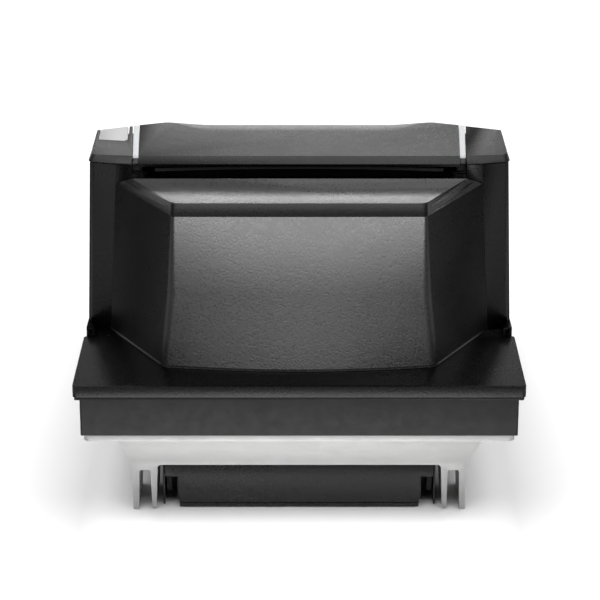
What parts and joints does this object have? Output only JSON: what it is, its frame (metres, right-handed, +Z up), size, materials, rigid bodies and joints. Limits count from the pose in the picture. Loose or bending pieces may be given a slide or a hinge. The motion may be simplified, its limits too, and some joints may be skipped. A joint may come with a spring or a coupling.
{
  "type": "checkout scanner",
  "caption": "In-counter checkout scanner with a raised scan tower, a lift-off weighing platter and a cast chassis that drops into a counter cut-out.",
  "frame": {"origin": "on the floor under the middle of the object's bounding box", "axes": "+Z up, +Y towards the cashier's end (the platter), -Y towards the customer's side that shows the back of the tower, +X to the right seen from the customer's side"},
  "size_m": [0.292, 0.398, 0.222],
  "materials": {
    "moulded_black": "fine spark texture",
    "rim_grey": "smooth satin powder coat",
    "cast_aluminium": "as cast, lightly blasted",
    "steel": "brushed",
    "glass": "polished, smoked",
    "light_pipe": "milky diffuser",
    "key_grey": "satin",
    "board_green": "solder mask",
    "rubber": "matte",
    "mirror": "front silvered"
  },
  "bodies": {
    "chassis": {"aux_port": "moulded_black", "chassis_casting": "cast_aluminium", "electronics_box": "moulded_black", "electronics_box_cover": "moulded_black", "front_cover": "moulded_black", "heat_sink": "cast_aluminium", "host_port": "moulded_black", "key_switch": "steel", "left_box_bracket": "moulded_black", "left_box_pad": "rubber", "left_corner_cap": "moulded_black", "left_led_board": "board_green", "left_light_pipe": "light_pipe", "left_side_cover": "moulded_black", "left_upper_lens": "moulded_black", "load_cell": "cast_aluminium", "load_cell_foot": "cast_aluminium", "lower_fold_mirror": "mirror", "lower_imager": "moulded_black", "lower_lens": "moulded_black", "lower_optics_tray": "moulded_black", "main_board": "board_green", "mounting_rim": "rim_grey", "overload_stop": "steel", "power_inlet": "moulded_black", "rear_cover": "moulded_black", "rear_deck": "moulded_black", "right_box_bracket": "moulded_black", "right_box_pad": "rubber", "right_corner_cap": "moulded_black", "right_led_board": "board_green", "right_light_pipe": "light_pipe", "right_side_cover": "moulded_black", "right_upper_lens": "moulded_black", "rim_screw_1": "steel", "rim_screw_2": "steel", "rim_screw_3": "steel", "rim_screw_4": "steel", "scale_port": "moulded_black", "slot_liner": "moulded_black", "slot_strip": "rim_grey", "speaker": "moulded_black", "top_cover": "moulded_black", "tower_base_bezel": "moulded_black", "tower_frame": "moulded_black", "upper_fold_mirror": "mirror", "upper_imager_board": "board_green", "upper_led_board": "board_green", "vertical_window": "glass"},
    "weigh_platform": {"weigh_spider": "cast_aluminium", "load_cell_spacer": "steel", "platter_pad_1": "rubber", "platter_pad_2": "rubber", "platter_pad_3": "rubber", "platter_pad_4": "rubber"},
    "platter": {"platter_plate": "steel", "platter_glass": "glass"},
    "key": {"control_key": "key_grey"}
  },
  "joints": [
    {"name": "platform_travel", "type": "slide", "parent": "chassis", "child": "weigh_platform", "axis": [0, 0, -1], "range_m": [0, 0.0005], "stiffness_N_per_m": 100000},
    {"name": "platter_lift", "type": "slide", "parent": "weigh_platform", "child": "platter", "axis": [0, 0, 1], "range_m": [0, 0.06]},
    {"name": "key_travel", "type": "slide", "parent": "chassis", "child": "key", "axis": [0, 0, -1], "range_m": [0, 0.001], "stiffness_N_per_m": 900}
  ]
}
